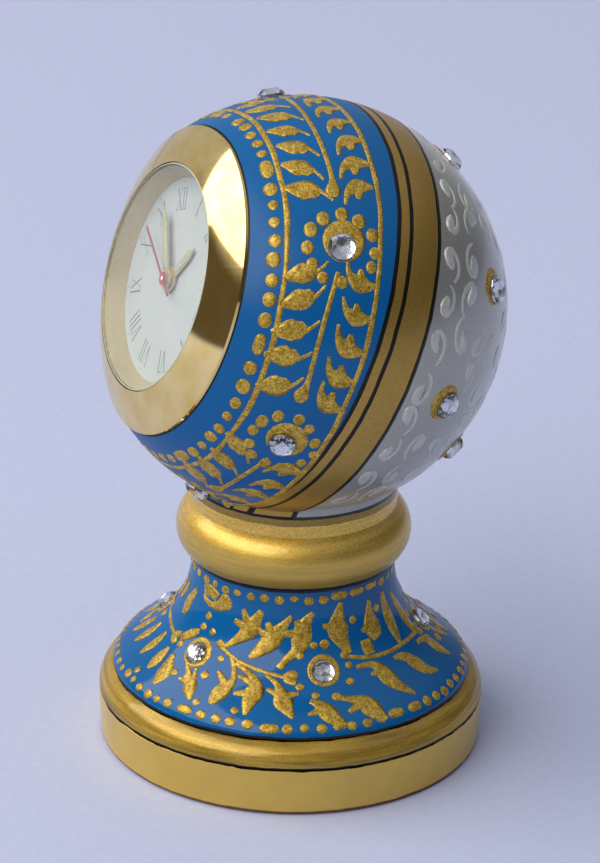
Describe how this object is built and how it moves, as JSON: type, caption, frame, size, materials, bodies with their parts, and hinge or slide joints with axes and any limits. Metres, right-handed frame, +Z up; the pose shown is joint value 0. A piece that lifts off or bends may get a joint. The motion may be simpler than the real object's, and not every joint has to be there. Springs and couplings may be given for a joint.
{
  "type": "desk clock",
  "caption": "Ball-shaped desk clock on a turned pedestal, with gilt relief, glued stones and a push-fit quartz insert that tells the time.",
  "frame": {"origin": "centre of the base's flat underside, on the surface that the clock stands on", "axes": "+Z up along the pedestal's axis; the dial looks along -Y and leans back, +X is at the right of someone reading it"},
  "size_m": [0.08, 0.0784, 0.1301],
  "materials": {
    "blue_lacquer_wood": "enamel lacquer on turned wood, blue in front, gold bands, pearl white behind",
    "gold_lacquer_wood": "gold lacquer on turned wood, with a blue foot",
    "bare_wood": "bare turned dowel",
    "foiled_stone": "foil-backed cut glass",
    "gold_plate": "polished gold plate on pressed brass",
    "clock_glass": "flat mineral glass with a bevelled edge",
    "champagne_ring": "metallised moulded ring",
    "dial_paint": "matt off-white print on thin sheet",
    "black_plastic": "moulded black plastic",
    "rubber": "ribbed rubber",
    "white_plastic": "moulded plates",
    "gear_plastic": "moulded acetal gears",
    "steel": "plated steel",
    "copper_wire": "enamelled copper winding",
    "board_green": "coated circuit board",
    "spring_brass": "pressed spring strip",
    "cell_steel": "nickel-plated steel can",
    "magnet": "sintered magnet",
    "gilt_hand": "gilt edge with cream filling",
    "red_hand": "red paint on thin sheet"
  },
  "bodies": {
    "stand": {"pedestal": "gold_lacquer_wood", "ball": "blue_lacquer_wood", "dowel": "bare_wood", "ball_crystals": "foiled_stone", "foot_crystals": "foiled_stone"},
    "insert": {"bezel": "gold_plate", "glass": "clock_glass", "reflector_ring": "champagne_ring", "dial": "dial_paint", "insert_cup": "black_plastic", "fit_ring": "rubber", "front_plate": "white_plastic", "train_bridge": "white_plastic", "rear_plate": "white_plastic", "movement_screws": "steel", "stator": "steel", "coil_core": "steel", "coil_bobbin": "white_plastic", "coil_winding": "copper_wire", "circuit_board": "board_green", "quartz_crystal": "steel", "driver_chip": "black_plastic", "positive_contact": "spring_brass", "negative_contact": "spring_brass", "button_cell": "cell_steel"},
    "battery_hatch": {"battery_hatch": "black_plastic"},
    "seconds": {"seconds_wheel": "gear_plastic", "second_hand": "red_hand"},
    "minutes": {"centre_wheel": "gear_plastic", "minute_hand": "gilt_hand"},
    "hours": {"hour_wheel": "gear_plastic", "hour_hand": "gilt_hand"},
    "third": {"third_wheel": "gear_plastic"},
    "intermediate": {"intermediate_wheel": "gear_plastic"},
    "rotor": {"rotor_magnet": "magnet", "rotor_pinion": "gear_plastic"},
    "motion_work": {"motion_wheel": "gear_plastic", "setting_knob": "black_plastic"}
  },
  "joints": [
    {"name": "insert_pull", "type": "slide", "parent": "stand", "child": "insert", "axis": [0, -0.9532, 0.3024], "range_m": [0, 0.036]},
    {"name": "hatch_lift", "type": "slide", "parent": "insert", "child": "battery_hatch", "axis": [0, 0.9532, -0.3024], "range_m": [0, 0.006]},
    {"name": "seconds_turn", "type": "hinge", "parent": "insert", "child": "seconds", "pos_m": [0, -0.01906, 0.09605], "axis": [0, 0.9532, -0.3024], "continuous": true},
    {"name": "minutes_turn", "type": "hinge", "parent": "insert", "child": "minutes", "pos_m": [0, -0.01906, 0.09605], "axis": [0, 0.9532, -0.3024], "continuous": true},
    {"name": "hours_turn", "type": "hinge", "parent": "insert", "child": "hours", "pos_m": [0, -0.01906, 0.09605], "axis": [0, 0.9532, -0.3024], "continuous": true},
    {"name": "third_turn", "type": "hinge", "parent": "insert", "child": "third", "pos_m": [-0.00665, -0.0199, 0.09342], "axis": [0, 0.9532, -0.3024], "continuous": true},
    {"name": "intermediate_turn", "type": "hinge", "parent": "insert", "child": "intermediate", "pos_m": [-0.0023, -0.01739, 0.10133], "axis": [0, 0.9532, -0.3024], "continuous": true},
    {"name": "rotor_turn", "type": "hinge", "parent": "insert", "child": "rotor", "pos_m": [-0.00157, -0.01571, 0.10662], "axis": [0, 0.9532, -0.3024], "continuous": true},
    {"name": "motion_turn", "type": "hinge", "parent": "insert", "child": "motion_work", "pos_m": [0.00739, -0.01814, 0.09897], "axis": [0, 0.9532, -0.3024], "continuous": true}
  ],
  "couplings": [
    {"joint": "minutes_turn", "follows": "seconds_turn", "ratio": 0.016667},
    {"joint": "hours_turn", "follows": "seconds_turn", "ratio": 0.0013889},
    {"joint": "third_turn", "follows": "seconds_turn", "ratio": -0.13333},
    {"joint": "intermediate_turn", "follows": "seconds_turn", "ratio": -5},
    {"joint": "rotor_turn", "follows": "seconds_turn", "ratio": 30},
    {"joint": "motion_turn", "follows": "seconds_turn", "ratio": -0.0055556}
  ]
}
